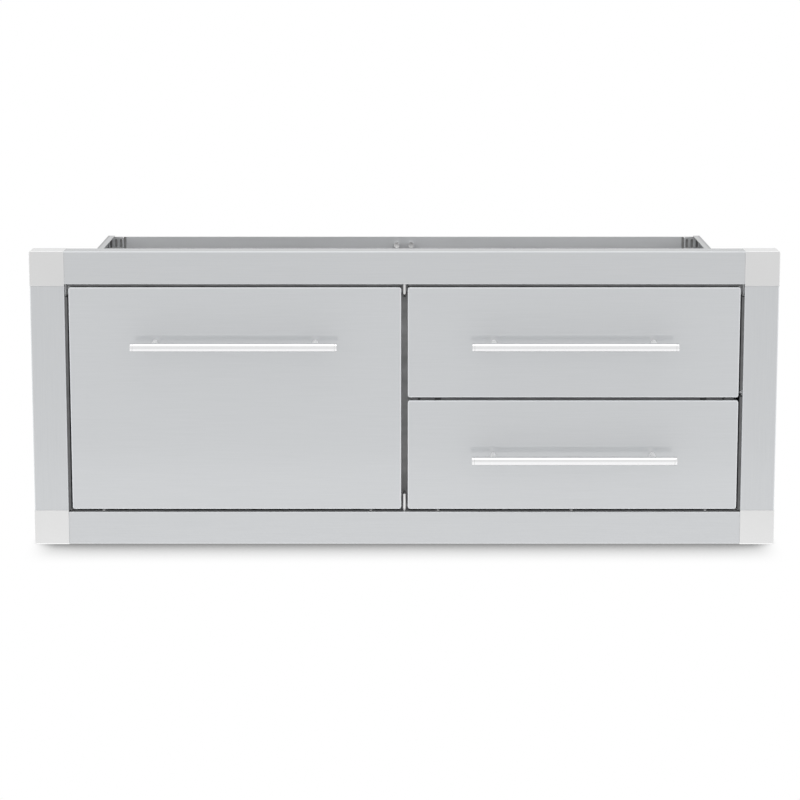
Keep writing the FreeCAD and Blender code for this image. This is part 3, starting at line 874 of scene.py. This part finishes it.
WHITE = (1, 1, 1, 1)
FLOOR_HEIGHT = cad_low.z
FLOOR_HALF = 12
FLOOR_COLOUR = (0.8, 0.8, 0.8, 1)
FLOOR_ROUGHNESS = 0.9

# The contact shadow: brightness at shares of open sky, and the stretch of X over which it fades out
SHADOW_STOPS = ((0.5, 0.27), (0.70, 0.70), (0.97, 1))
SHADOW_REACH = 0.11
SHADOW_SAMPLES = 16
SHADOW_FULL = 0.500
SHADOW_END = 0.545

# How much brighter than white the floor near the unit is in mirrors, and where that ends
GLOW_EXTRA = 0.22
GLOW_FULL = 0.40
GLOW_REACH = 0.75
GLOW_WIDTH = 0.75
GLOW_WIDTH_END = 1.2


def grey(value):
    """A colour that is equally bright in all its parts."""
    return (value, value, value, 1)


def by_ray(tree, camera, glossy, plain, output):
    """Shows one shader to the camera, one in mirrors and through glass, and a plain one to other rays."""
    path = tree.nodes.new("ShaderNodeLightPath")
    mirror = tree.nodes.new("ShaderNodeMath")
    mirror.operation = "MAXIMUM"
    tree.links.new(path.outputs["Is Glossy Ray"], mirror.inputs[0])
    tree.links.new(path.outputs["Is Transmission Ray"], mirror.inputs[1])
    inner = tree.nodes.new("ShaderNodeMixShader")
    tree.links.new(mirror.outputs[0], inner.inputs[0])
    tree.links.new(plain, inner.inputs[1])
    tree.links.new(glossy, inner.inputs[2])
    outer = tree.nodes.new("ShaderNodeMixShader")
    tree.links.new(path.outputs["Is Camera Ray"], outer.inputs[0])
    tree.links.new(inner.outputs[0], outer.inputs[1])
    tree.links.new(camera, outer.inputs[2])
    tree.links.new(outer.outputs[0], output)


def world():
    """A white room all round."""
    sky = bpy.data.worlds.new("white_studio")
    bpy.context.scene.world = sky
    sky.use_nodes = True
    tree = sky.node_tree
    plain = tree.nodes["Background"]
    plain.inputs["Color"].default_value = WHITE
    plain.inputs["Strength"].default_value = 1.0
    white = tree.nodes.new("ShaderNodeBackground")
    white.inputs["Color"].default_value = WHITE
    output = tree.nodes["World Output"].inputs["Surface"]
    by_ray(tree, white.outputs[0], white.outputs[0], plain.outputs[0], output)


def floor_material():
    """White, with a painted soft contact shadow where the unit stands on it, and brighter near the unit
    in mirrors.
    """
    recipe = Recipe("white_floor")
    recipe.fix(Base_Color=FLOOR_COLOUR, Roughness=FLOOR_ROUGHNESS, Specular_IOR_Level=0.0)
    nearness = recipe.add(
        "ShaderNodeAmbientOcclusion", samples=SHADOW_SAMPLES, Distance=SHADOW_REACH
    )
    ramp = recipe.add("ShaderNodeValToRGB", Fac=nearness.outputs["AO"])
    ramp.color_ramp.interpolation = "LINEAR"
    darkest, middle, clear = SHADOW_STOPS
    stops = ramp.color_ramp.elements
    stops[0].position = darkest[0]
    stops[0].color = grey(darkest[1])
    stops[1].position = clear[0]
    stops[1].color = grey(clear[1])
    stops.new(middle[0]).color = grey(middle[1])

    across = recipe.combine("ABSOLUTE", recipe.coordinate("X"))
    before = recipe.combine("ABSOLUTE", recipe.coordinate("Y"))
    fade = recipe.span(across, 0.0, 1.0, SHADOW_FULL, SHADOW_END, curve="SMOOTHSTEP")
    shown = recipe.add("ShaderNodeEmission", Color=recipe.blend(fade, ramp.outputs["Color"], WHITE))

    near = recipe.span(before, GLOW_EXTRA, 0.0, GLOW_FULL, GLOW_REACH, curve="SMOOTHSTEP")
    beside = recipe.span(across, 1.0, 0.0, GLOW_WIDTH, GLOW_WIDTH_END, curve="SMOOTHSTEP")
    glow = recipe.combine("MULTIPLY_ADD", near, beside, 1.0)
    mirrored = recipe.add("ShaderNodeEmission", Strength=glow)
    plain = recipe.shader.outputs[0]
    by_ray(recipe.tree, shown.outputs[0], mirrored.outputs[0], plain, recipe.output.inputs["Surface"])
    recipe.material.cycles.emission_sampling = "NONE"
    return recipe.material


def floor():
    """A flat floor at the height of the frame's lowest edge."""
    mesh = bpy.data.meshes.new("studio_floor")
    build = bmesh.new()
    bmesh.ops.create_grid(build, x_segments=1, y_segments=1, size=FLOOR_HALF)
    bmesh.ops.translate(build, verts=build.verts, vec=(0, 0, FLOOR_HEIGHT))
    build.to_mesh(mesh)
    build.free()
    mesh.materials.append(floor_material())
    ground = bpy.data.objects.new("studio_floor", mesh)
    bpy.context.scene.collection.objects.link(ground)


def lamp(name, place, aim, width, height, power):
    """A soft rectangular lamp that the camera doesn't see."""
    data = bpy.data.lights.new(name, "AREA")
    data.shape = "RECTANGLE"
    data.size = width
    data.size_y = height
    data.energy = power
    light = bpy.data.objects.new(name, data)
    light.location = place
    direction = Vector(aim) - Vector(place)
    light.rotation_euler = direction.to_track_quat("-Z", "Y").to_euler()
    light.visible_camera = False
    bpy.context.scene.collection.objects.link(light)


def studio():
    """The white room, its floor, and three soft lamps."""
    world()
    floor()
    lamp("overhead_softbox", place=(0, -0.6, 2.2), aim=(0, 0, 0), width=2.4, height=1.6, power=10)
    for side in SIDES:
        place = (side * 2.6, -0.6, 0.6)
        lamp("side_softbox", place=place, aim=(0, 0, 0.15), width=1.6, height=1.4, power=9)


photograph_camera()
dress_cad_nodes()
for drawer in DRAWERS:
    handle(drawer)
side_seals()
head_seals()
sill_seals()
sill_seal_screws()
post_seal()
stack_lip()
centre_fins()
back_plugs()
slot_shade_strips()
studio()
bpy.context.scene.view_settings.view_transform = "Standard"
